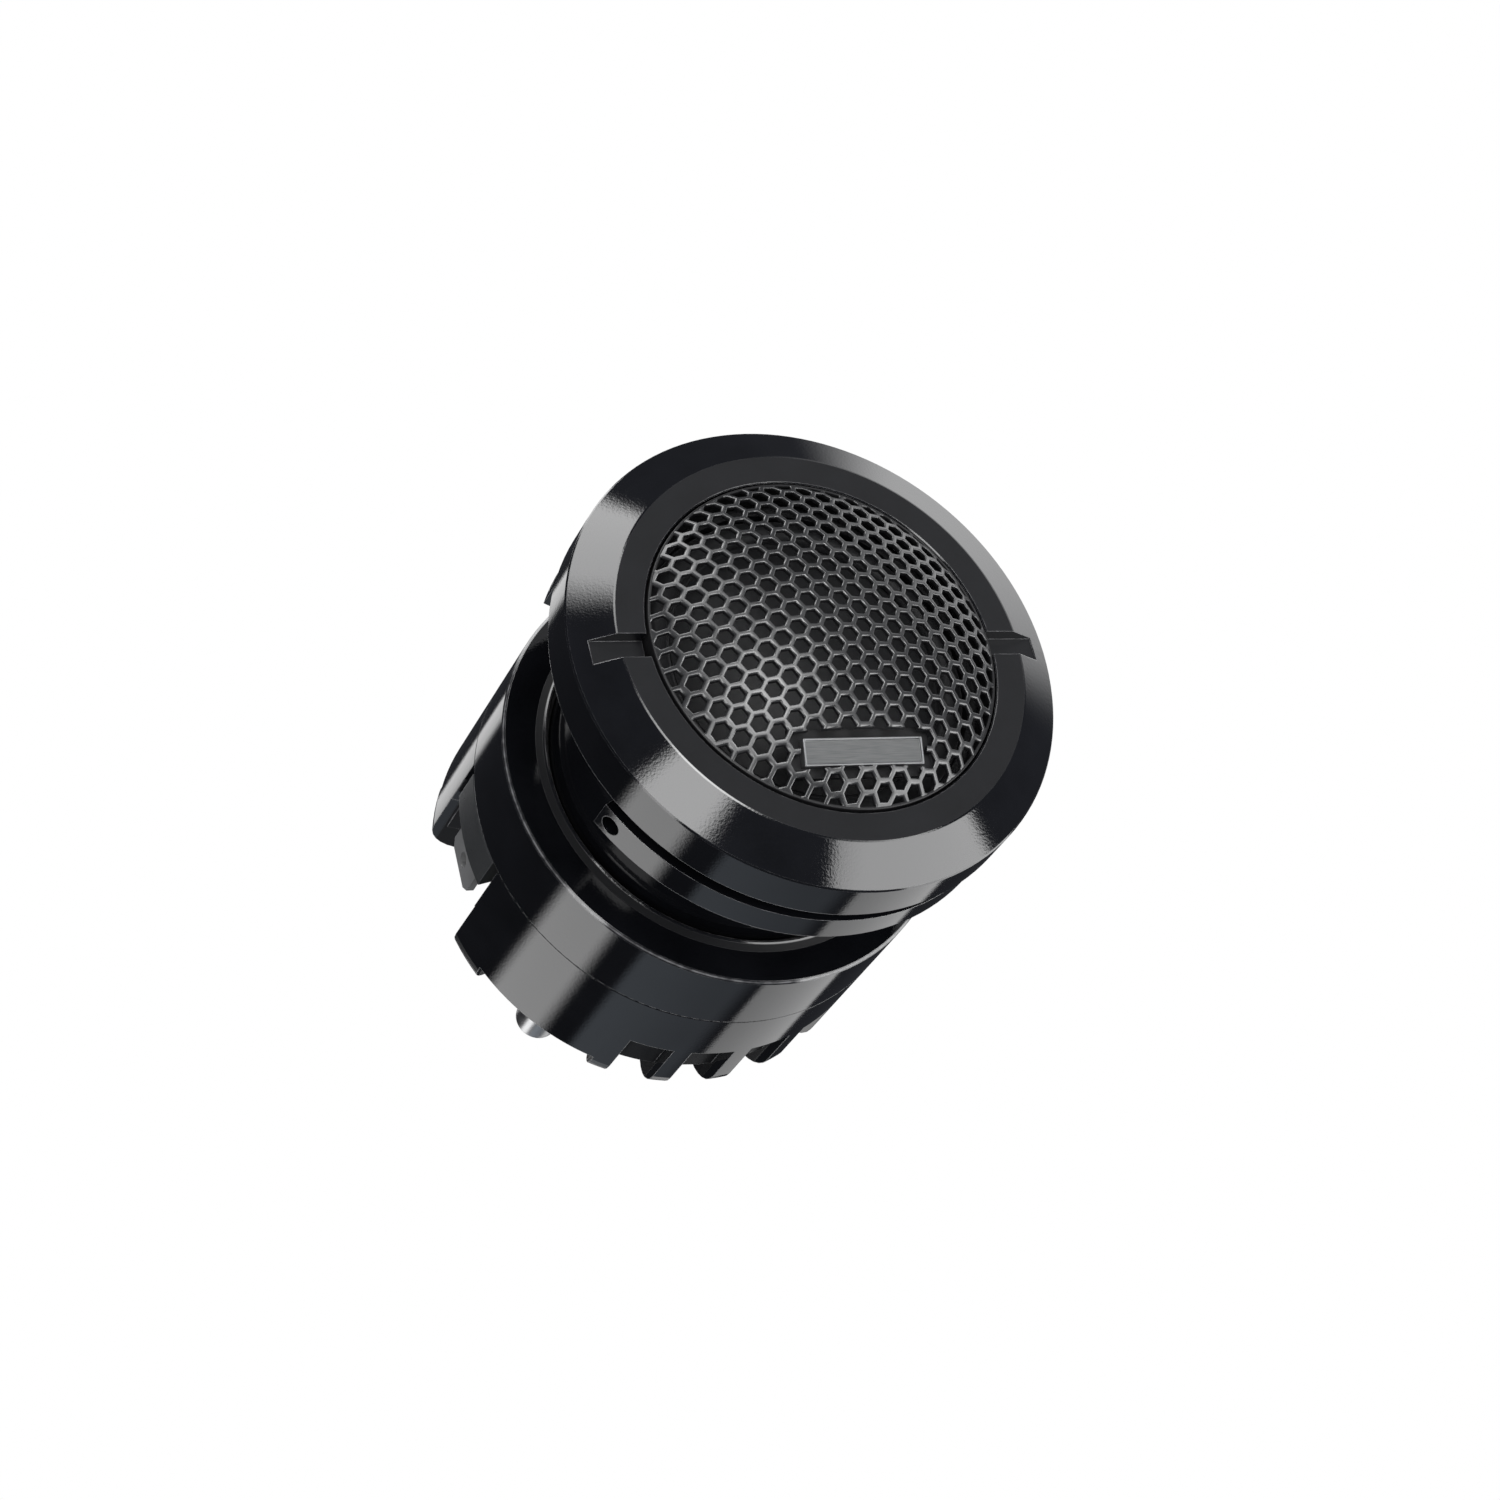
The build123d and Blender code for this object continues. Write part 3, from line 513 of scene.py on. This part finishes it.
def make_grille():
    verts, faces, bright = grille_mesh()
    net = raw("grille_net", verts, faces)
    net.data.polygons.foreach_set("material_index", bright)
    bm = bmesh.new()
    bm.from_mesh(net.data)
    bmesh.ops.remove_doubles(bm, verts=bm.verts, dist=4e-6)
    for k in range(96):
        a = 2 * math.pi * k / 96
        n = Vector((math.cos(a), math.sin(a), 0))
        near = [v for v in bm.verts if v.co.dot(n) > 17.6 * MM]
        fs = {f for v in near for f in v.link_faces}
        vs = {v for f in fs for v in f.verts} | set(near)
        es = {e for v in near for e in v.link_edges} | {e for f in fs for e in f.edges}
        if near:
            bmesh.ops.bisect_plane(bm, geom=list(vs) + list(es) + list(fs), plane_co=n * 18.22 * MM, plane_no=n, clear_outer=True, dist=1e-8)
    # window for the badge
    x1, y0, y1 = 6.8 * MM, (-13.0 - 1.73) * MM, (-13.0 + 1.73) * MM
    inside = lambda co: abs(co.x) < x1 + 1e-7 and y0 - 1e-7 < co.y < y1 + 1e-7
    for co, no in (((x1, 0, 0), (1, 0, 0)), ((-x1, 0, 0), (-1, 0, 0)), ((0, y0, 0), (0, -1, 0)), ((0, y1, 0), (0, 1, 0))):
        fs = [f for f in bm.faces if abs(f.calc_center_median().x) < x1 + 1.2 * MM and y0 - 1.2 * MM < f.calc_center_median().y < y1 + 1.2 * MM]
        es = {e for f in fs for e in f.edges}
        vs = {v for f in fs for v in f.verts}
        bmesh.ops.bisect_plane(bm, geom=list(vs) + list(es) + fs, plane_co=co, plane_no=no, dist=1e-8)
    gone = [f for f in bm.faces if inside(f.calc_center_median())]
    bmesh.ops.delete(bm, geom=gone, context="FACES")
    # cap every cut rib end
    holes = [e for e in bm.edges if len(e.link_faces) == 1]
    bmesh.ops.holes_fill(bm, edges=holes, sides=40)
    loose = [v for v in bm.verts if not v.link_faces]
    bmesh.ops.delete(bm, geom=loose, context="VERTS")
    bmesh.ops.recalc_face_normals(bm, faces=bm.faces)
    bm.to_mesh(net.data)
    bm.free()
    # rim, skirt and flange, turned in one closed outline
    z = lambda r, R: BALL_Z + math.sqrt(R * R - r * r)
    prof = [(18.4, 4.6), (18.4, 7.14), (18.38, 7.20), (18.32, 7.24), (18.22, 7.265), (18.12, 7.27), (18.08, 7.22), (18.07, 6.70),
            (18.1, 6.6), (18.1, 3.9), (18.25, 3.75), (20.95, 3.75), (21.0, 3.8), (21.0, 4.3), (20.95, 4.35), (18.65, 4.35)]
    segs = 256
    n = len(prof)
    v = [(r * math.cos(2 * math.pi * s / segs), r * math.sin(2 * math.pi * s / segs), zz) for s in range(segs) for r, zz in prof]
    f = [(s * n + k, ((s + 1) % segs) * n + k, ((s + 1) % segs) * n + (k + 1) % n, s * n + (k + 1) % n) for s in range(segs) for k in range(n)]
    me = net.data
    bm = bmesh.new()
    bm.from_mesh(me)
    vs = [bm.verts.new(tuple(c * MM for c in p)) for p in v]
    new = [bm.faces.new([vs[i] for i in q]) for q in f]
    for face in new:
        face.material_index = 2
    bmesh.ops.recalc_face_normals(bm, faces=new)
    bm.to_mesh(me)
    bm.free()
    ob = net
    ob.name = "grille_mesh"
    me.name = "grille_mesh"
    for key in ("grille_black", "grille_edge_highlight", "grille_rim"):
        me.materials.append(MAT[key])
    shade(ob, 42.0)
    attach(ob, STATIC)
    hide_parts("grille")
    return ob


make_grille()


# ------------------------------------------------------------------ badge: blank plate with a raised frame
def make_badge():
    W, H, T = 12.9, 2.8, 0.95
    tilt = Matrix.Translation((0, -13.15, 9.30)) @ Matrix.Rotation(math.radians(17), 4, "X")
    rings = []

    def rect(w, h, z, r):
        """Rounded rectangle as a list of points."""
        pts = []
        for cx, cy, a0 in ((w / 2 - r, h / 2 - r, 0), (-w / 2 + r, h / 2 - r, 90), (-w / 2 + r, -h / 2 + r, 180), (w / 2 - r, -h / 2 + r, 270)):
            for k in range(5):
                t = math.radians(a0 + 90 * k / 4)
                pts.append((cx + r * math.cos(t), cy + r * math.sin(t), z))
        return pts

    stack = [(W - 0.1, H - 0.1, -T, 0.12), (W, H, -T + 0.05, 0.14), (W, H, -0.16, 0.16), (W - 0.05, H - 0.05, -0.06, 0.15), (W - 0.16, H - 0.16, 0.0, 0.12),
             (W - 0.42, H - 0.42, 0.0, 0.10), (W - 0.52, H - 0.52, -0.05, 0.09), (W - 0.56, H - 0.56, -0.15, 0.08), (W - 0.66, H - 0.66, -0.18, 0.06)]
    verts, faces = [], []
    for w, h, z, r in stack:
        rings.append(len(verts))
        verts += [tuple(tilt @ Vector(p)) for p in rect(w, h, z, r)]
    n = 20
    for a, b in zip(rings, rings[1:]):
        faces += [(a + k, a + (k + 1) % n, b + (k + 1) % n, b + k) for k in range(n)]
    faces.append(tuple(rings[-1] + k for k in range(n)))
    faces.append(tuple(rings[0] + k for k in range(n))[::-1])
    ob = piece("badge_plate", verts, faces, MAT["badge_silver"], smooth=30)
    m, g, p = new_material("badge_field")
    x, y, z = g.split(g.position())
    brushed = g.noise(g.join(g.math("MULTIPLY", x, 0.03), y, z), 16000, 3.0)
    g.set(p, "Base Color", g.ramp(brushed, [(0.25, (0.060, 0.062, 0.063)), (0.75, (0.105, 0.107, 0.107))]))
    g.set(p, "Roughness", g.smooth(brushed, 0.2, 0.8, 0.36, 0.5))
    g.set(p, "Normal", g.bump(brushed, 0.000004))
    p.inputs["Metallic"].default_value = 0.9
    ob.data.materials.append(m)
    centre = tilt @ Vector((0, 0, -0.18))
    up = (tilt.to_3x3() @ Vector((0, 0, 1))).normalized()
    for f in ob.data.polygons:
        if abs((Vector(f.center) / MM - centre).dot(up)) < 0.09 and f.normal.dot(up) > 0.8:
            f.material_index = 1
    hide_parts("badge")


make_badge()


# ------------------------------------------------------------------ soft goods
def wavy(amount, seed, freq=0.9):
    def warp(p, t):
        v = Vector(p)
        n = noise.noise_vector(v * freq + Vector((seed, seed * 2, 0))) * amount
        return tuple(v + n)
    return warp


def soft(name, node, outline, mat, slot, amount, seed, segs=192, freq=0.9):
    ob = lathe(name, outline, MAT[mat], segs=segs, steps=5, smooth=60, warp=wavy(amount, seed, freq))
    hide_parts(node)
    return ob


soft("grille_gasket_foam", "grille_gasket", [(18.93, 3.28, 0.15), (20.97, 3.28, 0.15), (20.97, 3.72, 0.15), (18.93, 3.72, 0.15)], "gasket", "gasket", 0.02, 1)
soft("neck_seal_cord", "neck_seal", [(19.24, -20.13, 0.28), (19.83, -20.13, 0.28), (19.83, -19.22, 0.28), (19.24, -19.22, 0.28)], "gasket", "gasket", 0.012, 2)
soft("chamber_gasket_foam", "chamber_gasket", [(14.73, -28.48, 0.18), (15.77, -28.48, 0.18), (15.77, -27.92, 0.18), (14.73, -27.92, 0.18)], "gasket", "gasket", 0.015, 3)


def wad(name, node, r_in, r_out, z0, z1, mat, amount, seed, n_side=10, n_cap=8, corner=0.9):
    """Ring of loose material: crowned faces, pulled-in sides, lumpy surface."""
    out = []
    bulge = lambda t: math.sin(math.pi * t)
    for k in range(n_side + 1):
        t = k / n_side
        out.append((r_out - corner * 0.16 * (1 - bulge(t)), z0 + (z1 - z0) * t, corner if k in (0, n_side) else 0))
    for k in range(1, n_cap):
        t = k / n_cap
        out.append((r_out + (r_in - r_out) * t, z1 - 0.10 * corner * (1 - bulge(t)), 0))
    for k in range(n_side + 1):
        t = 1 - k / n_side
        out.append((r_in + (corner * 0.10 * (1 - bulge(t)) if r_in > 0 else 0), z0 + (z1 - z0) * t, corner * 0.5 if k in (0, n_side) and r_in > 0 else 0))
    for k in range(1, n_cap):
        t = 1 - k / n_cap
        out.append((r_out + (r_in - r_out) * t, z0 + 0.10 * corner * (1 - bulge(t)), 0))
    ob = lathe(name, out, MAT[mat], segs=128, steps=4, smooth=70, warp=wavy(amount, seed, 1.4 / corner))
    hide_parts(node)
    return ob


wad("damping_foam_plug", "damping_foam", 3.35, 11.85, -36.65, -24.65, "foam", 0.14, 4)
wad("felt_disc", "felt_pad", 0.0, 8.42, 0.30, 1.46, "felt", 0.035, 5, n_side=4, corner=0.3)


# ------------------------------------------------------------------ diaphragm
def dome_fabric():
    """Fabric dome: pressed cap with a slight tucked foot ring, own thickness."""
    rise = 6.8 - 2.2
    ball = (14.2 ** 2 + rise ** 2) / (2 * rise)
    cz = 6.8 - ball
    top = math.asin(14.2 / ball)
    outer = [(ball * math.sin(top * k / 60), cz + ball * math.cos(top * k / 60)) for k in range(61)]
    foot = [(14.2, 2.05), (14.2, 1.62), (14.15, 1.6), (13.98, 1.6), (13.95, 1.65)]
    ib = ball - 0.25
    it = math.asin(13.95 / ib)
    inner = [(ib * math.sin(it * k / 60), cz + ib * math.cos(it * k / 60)) for k in range(60, -1, -1)]
    prof = outer + foot + inner
    segs = 192
    n = len(prof)
    verts = [(r * math.cos(2 * math.pi * s / segs), r * math.sin(2 * math.pi * s / segs), z) for s in range(segs) for r, z in prof]
    faces = [(s * n + k, ((s + 1) % segs) * n + k, ((s + 1) % segs) * n + k + 1, s * n + k + 1) for s in range(segs) for k in range(n - 1)]
    ob = piece("dome_fabric", verts, faces, MAT["silk"], MOVING, smooth=50, weighted=False)
    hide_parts("dome")


dome_fabric()


def surround_roll():
    mid = [(18.3, 1.12), (17.85, 1.12), (17.42, 1.12)]
    for k in range(0, 25):
        t = math.pi * k / 24
        mid.append((15.95 + 1.35 * math.cos(t), 1.12 + 0.88 * k / 24 + 1.35 * math.sin(t)))
    mid += [(14.5, 2.0), (14.235, 2.0)]

    def off(d):
        out = []
        for k, (r, z) in enumerate(mid):
            r0, z0 = mid[max(k - 1, 0)]
            r1, z1 = mid[min(k + 1, len(mid) - 1)]
            n = math.hypot(r1 - r0, z1 - z0)
            out.append((r + d * (z1 - z0) / n, z - d * (r1 - r0) / n))
        return out
    prof = off(0.095) + off(-0.095)[::-1]
    ob = lathe("surround_roll", [(r, z) for r, z in prof], MAT["silk"], body=None, segs=192, smooth=60)
    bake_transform(ob)
    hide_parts("surround")


surround_roll()


def sweep(points, r, segs=14, twist=0.0, lobes=0, depth=0.0):
    """Tube along a smooth path through the points; lobes give a stranded cord."""
    pts = [Vector(p) for p in points]
    path = []
    for i in range(len(pts) - 1):
        p0, p1, p2, p3 = pts[max(i - 1, 0)], pts[i], pts[i + 1], pts[min(i + 2, len(pts) - 1)]
        for k in range(14):
            t = k / 14
            path.append(0.5 * ((2 * p1) + (p2 - p0) * t + (2 * p0 - 5 * p1 + 4 * p2 - p3) * t * t + (3 * p1 - p0 - 3 * p2 + p3) * t ** 3))
    path.append(pts[-1])
    verts, faces = [], []
    up = Vector((0, 1, 0))
    length = 0.0
    for k, p in enumerate(path):
        d = (path[min(k + 1, len(path) - 1)] - path[max(k - 1, 0)]).normalized()
        side = d.cross(up).normalized()
        up2 = side.cross(d).normalized()
        length += (path[k] - path[k - 1]).length if k else 0.0
        for s in range(segs):
            a = 2 * math.pi * s / segs
            rr = r * (1 - depth + depth * abs(math.cos(lobes * (a + twist * length) / 2))) if lobes else r
            verts.append(tuple(p + side * math.cos(a) * rr + up2 * math.sin(a) * rr))
    for k in range(len(path) - 1):
        for s in range(segs):
            s2 = (s + 1) % segs
            faces.append((k * segs + s, k * segs + s2, (k + 1) * segs + s2, (k + 1) * segs + s))
    faces.append(tuple(range(segs))[::-1])
    faces.append(tuple((len(path) - 1) * segs + s for s in range(segs)))
    return verts, faces


def tinsel():
    verts, faces = [], []
    for s in (-1, 1):
        v, f = sweep([(-17.75, s * 1.45, -0.2), (-16.9, s * 1.45, 0.55), (-15.7, s * 1.45, 0.95), (-14.56, s * 1.45, 0.95)], 0.125, 18, 9.0, 6, 0.22)
        b = len(verts)
        verts += v
        faces += [tuple(i + b for i in q) for q in f]
    ob = piece("tinsel_cords", verts, faces, MAT["braid"], None, smooth=60, weighted=False)
    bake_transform(ob)
    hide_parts("tinsel_leads")


tinsel()

# ------------------------------------------------------------------ stud, washer, nut
PI2 = 2 * math.pi


def stud():
    """M5 x 0.8 stud: threaded length with run-outs, plain waist and a smooth pilot end."""
    segs, pitch = 72, 0.8

    def depth(z):
        """How deep the thread is cut at this height, 0 to 1."""
        d = 0.0
        for lo, hi in ((-72.0, -46.6), (-45.0, -17.2)):
            if lo < z < hi:
                d = max(d, min(1.0, (z - lo) / 1.0, (hi - z) / 1.0))
        return d

    zs = [-16.6, -16.62]
    z = -17.0
    while z > -45.25:
        zs.append(z)
        z -= pitch / 10
    zs += [-45.3, -45.5, -45.9, -46.1, -46.3]
    z = -46.5
    while z > -72.2:
        zs.append(z)
        z -= pitch / 10
    zs += [-73.0, -75.0, -77.0, -79.0, -79.6, -79.68, -79.78, -79.88, -79.96, -80.0]
    verts = [(0, 0, -16.6)]
    for z in zs:
        for s in range(segs):
            t = PI2 * s / segs
            r = 2.5
            if z > -17.0:
                r = 2.1 if z > -16.61 else 2.18
            elif -45.95 < z < -45.45:
                r = 2.05
            elif z < -79.55:
                e = max(0.0, (-79.6 - z) / 0.4)
                r = 2.5 - 0.4 * (1 - math.sqrt(max(0.0, 1 - e * e)))
            f = ((z / pitch) - s / segs) % 1.0
            tri = abs(f * 2 - 1)
            groove = min(1.0, max(0.0, (1 - tri) * 1.35 - 0.08))
            r -= 0.42 * depth(z) * groove
            verts.append((r * math.cos(t), r * math.sin(t), z))
    verts.append((0, 0, -80.0))
    faces = [(0, 1 + s, 1 + (s + 1) % segs) for s in range(segs)]
    for k in range(len(zs) - 1):
        a, b = 1 + k * segs, 1 + (k + 1) * segs
        faces += [(a + s, b + s, b + (s + 1) % segs, a + (s + 1) % segs) for s in range(segs)]
    last = 1 + (len(zs) - 1) * segs
    faces += [(last + s, len(verts) - 1, last + (s + 1) % segs) for s in range(segs)]
    ob = piece("threaded_stud", verts, faces, MAT["steel"], STATIC, smooth=38, weighted=False)
    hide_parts("mounting_stud")


stud()


def washer():
    """Split lock washer, drawn clamped flat, with its slanted gap."""
    prof = rounded([(2.62, -41.08, 0.12), (4.58, -41.08, 0.16), (4.58, -40.02, 0.16), (2.62, -40.02, 0.12)], 3)
    n, steps = len(prof), 120
    verts, faces = [], []
    for k in range(steps + 1):
        for r, z in prof:
            lean = (z + 40.55) * 0.18
            t = math.radians(4 + 352 * k / steps) + lean * (1 if k in (0, steps) else 1) / 3.6
            verts.append((r * math.cos(t), r * math.sin(t), z))
    for k in range(steps):
        faces += [(k * n + i, (k + 1) * n + i, (k + 1) * n + (i + 1) % n, k * n + (i + 1) % n) for i in range(n)]
    faces.append(tuple(range(n)))
    faces.append(tuple(steps * n + i for i in range(n))[::-1])
    ob = piece("split_washer", verts, faces, MAT["steel"], STATIC, smooth=40, weighted=False)
    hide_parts("lock_washer")


washer()


def nut():
    """M5 hexagon nut with 30 degree chamfers and a countersunk bore."""
    z0, z1, flat = -45.1, -41.1, 4.0
    segs = 144
    verts, faces, n = [], [], 0
    for s in range(segs):
        t = PI2 * s / segs
        k = (t + math.pi / 6) % (math.pi / 3) - math.pi / 6
        hexr = min(flat / math.cos(k), 4.60)
        cham = max(0.0, hexr - 3.85) * math.tan(math.radians(30))
        prof = [(2.52, z0 + 0.45), (2.86, z0 + 0.06), (2.95, z0 + 0.01), (3.76, z0), (3.88, z0 + 0.02), (hexr - 0.05, z0 + cham * 0.93 + 0.02), (hexr, z0 + cham + 0.09),
                (hexr, z1 - cham - 0.09), (hexr - 0.05, z1 - cham * 0.93 - 0.02), (3.88, z1 - 0.02), (3.76, z1), (2.95, z1 - 0.01), (2.86, z1 - 0.06), (2.52, z1 - 0.45)]
        n = len(prof)
        verts += [(r * math.cos(t), r * math.sin(t), z) for r, z in prof]
    for s in range(segs):
        s2 = (s + 1) % segs
        faces += [(s * n + k, s2 * n + k, s2 * n + (k + 1) % n, s * n + (k + 1) % n) for k in range(n)]
    ob = piece("hex_nut", verts, faces, MAT["steel"], STATIC, smooth=24)
    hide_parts("stud_nut")


nut()

# ------------------------------------------------------------------ floor, light and camera
def floor():
    size, z = 6.0, -0.0815
    me = bpy.data.meshes.new("floor")
    me.from_pydata([(-size, -size, z), (size, -size, z), (size, size, z), (-size, size, z)], [], [(0, 1, 2, 3)])
    ob = bpy.data.objects.new("floor", me)
    scene.collection.objects.link(ob)
    m = bpy.data.materials.new("floor")
    m.use_nodes = True
    g = Graph(m.node_tree)
    out = g.nodes.new("ShaderNodeOutputMaterial")
    e = g.nodes.new("ShaderNodeEmission")
    e.inputs[0].default_value = (1, 1, 1, 1)
    clear = g.nodes.new("ShaderNodeBsdfTransparent")
    mixer = g.nodes.new("ShaderNodeMixShader")
    geo = g.nodes.new("ShaderNodeNewGeometry")
    g.links.new(geo.outputs["Backfacing"], mixer.inputs[0])
    g.links.new(e.outputs[0], mixer.inputs[1])
    g.links.new(clear.outputs[0], mixer.inputs[2])
    g.links.new(mixer.outputs[0], out.inputs[0])
    me.materials.append(m)
    for flag in ("visible_diffuse", "visible_glossy", "visible_transmission", "visible_volume_scatter", "visible_shadow"):
        setattr(ob, flag, False)


floor()


def studio():
    """Soft studio: three tall soft panels round the part, one overhead, a low one in front, on a dim grey room.
    The background the camera sees is plain white."""
    w = bpy.data.worlds.new("studio")
    scene.world = w
    w.use_nodes = True
    g = Graph(w.node_tree)
    tc = g.nodes.new("ShaderNodeTexCoord")
    x, y, z = g.split(tc.outputs["Generated"])
    el = g.math("MULTIPLY", g.math("ARCSINE", z), 180 / math.pi)
    az = g.math("MULTIPLY", g.math("ARCTAN2", y, x), 180 / math.pi)

    def wrapped(centre):
        """Azimuth from centre, -180 to 180."""
        d = g.math("SUBTRACT", az, centre if centre <= 180 else centre - 360)
        return g.math("WRAP", d, 180.0, -180.0)

    def band(v, lo, hi, s0, s1=None):
        s1 = s0 if s1 is None else s1
        return g.math("MULTIPLY", g.smooth(v, lo - s0, lo + s0), g.smooth(v, hi - s1, hi + s1, 1.0, 0.0))

    total = None

    def add(mask, level, tint=(1.0, 1.0, 1.0)):
        nonlocal total
        v = g.math("MULTIPLY", mask, level)
        c = g.mix(1.0, v_to_rgb(v), (*tint, 1.0), "MULTIPLY")
        total = c if total is None else g.mix(1.0, total, c, "ADD")

    def v_to_rgb(v):
        return g.join(v, v, v)

    # room: dim, a little lighter above
    room = g.smooth(el, -60, 40, 0.030, 0.115)
    add(room, 1.0, (0.92, 0.96, 1.12))
    # back panel, leaning with height
    lean = g.math("SUBTRACT", wrapped(100.6), g.math("MULTIPLY", el, 0.165))
    lean = g.math("MULTIPLY", lean, g.smooth(el, -52, 0, 1.38, 1.0, "LINEAR"))
    add(g.math("MULTIPLY", band(lean, -11.2, 9.5, 1.8, 5.0), band(el, -75, 58, 8, 10)), g.smooth(el, -55, 24, 1.3, 7.6, "LINEAR"))
    # right panel
    lean = g.math("SUBTRACT", wrapped(333), g.math("MULTIPLY", g.math("ADD", el, 55), -0.085))
    add(g.math("MULTIPLY", band(lean, -21.5, 21.0, 1.5, 1.5), band(el, -78, 60, 8, 8)), g.smooth(el, -56, 34, 0.92, 7.1, "LINEAR"))
    # strip through the left and overhead
    e_axis = (math.cos(math.radians(303)), math.sin(math.radians(303)))
    perp = g.math("ADD", g.math("MULTIPLY", x, e_axis[0]), g.math("MULTIPLY", y, e_axis[1]))
    along = g.math("ADD", g.math("MULTIPLY", x, math.cos(math.radians(213))), g.math("MULTIPLY", y, math.sin(math.radians(213))))
    strip = g.math("MULTIPLY", band(perp, -0.16, 0.152, 0.04, 0.045), g.smooth(along, -0.12, 0.02))
    strip = g.math("MULTIPLY", strip, g.smooth(el, -80, -70))
    add(strip, g.smooth(el, -54, 66, 2.75, 8.8, "LINEAR"))
    # overhead patch
    c = Vector((math.cos(math.radians(112)) * math.cos(math.radians(84)), math.sin(math.radians(112)) * math.cos(math.radians(84)), math.sin(math.radians(84))))
    near = g.math("ADD", g.math("ADD", g.math("MULTIPLY", x, c.x), g.math("MULTIPLY", y, c.y)), g.math("MULTIPLY", z, c.z))
    add(g.smooth(near, math.cos(math.radians(19)), math.cos(math.radians(7))), 9.5)
    # low front panel, soft edged
    add(g.math("MULTIPLY", band(wrapped(37), -19, 17.5, 7, 6), band(el, -34, 5, 8, 8)), 2.0)
    # faint broad panel over the far side
    add(g.math("MULTIPLY", band(wrapped(45), -30, 30, 14), band(el, 34, 68, 12)), 0.5)
    add(g.math("MULTIPLY", band(wrapped(43), -19, 16, 8), band(el, 5, 35, 7, 9)), 1.2)
    # dim blue-grey fill between strip and right panel
    add(g.math("MULTIPLY", band(wrapped(274), -27, 30, 3, 6), band(el, -85, -20, 4, 20)), g.smooth(wrapped(274), -28, 30, 0.46, 0.2), (0.88, 0.98, 1.10))
    # weak bounce from below
    add(g.smooth(el, -66, -80), 0.8)

    path = g.nodes.new("ShaderNodeLightPath")
    colour = g.mix(path.outputs["Is Camera Ray"], total, (1.0, 1.0, 1.0, 1.0))
    bg = g.nodes.new("ShaderNodeBackground")
    g.set(bg, 0, colour)
    bg.inputs[1].default_value = 1.0
    out = g.nodes.new("ShaderNodeOutputWorld")
    g.links.new(bg.outputs[0], out.inputs[0])


studio()
scene.view_settings.view_transform = "Standard"
scene.view_settings.look = "None"

cam = bpy.data.cameras.new("camera")
cam.sensor_width, cam.lens = 36.0, 86.53
cam.clip_start, cam.clip_end = 0.01, 20.0
cam_ob = bpy.data.objects.new("camera", cam)
scene.collection.objects.link(cam_ob)
right, up, back = Vector((0.90159, -0.22263, 0.37090)), Vector((0.01856, 0.87652, 0.48102)), Vector((-0.43219, -0.42680, 0.79439))
rot = Matrix((right, up, back)).transposed().to_quaternion()
cam_ob.rotation_mode = "QUATERNION"
cam_ob.rotation_quaternion = rot
cam_ob.location = (-0.158915, -0.157815, 0.279266)
scene.camera = cam_ob

bpy.context.view_layer.update()
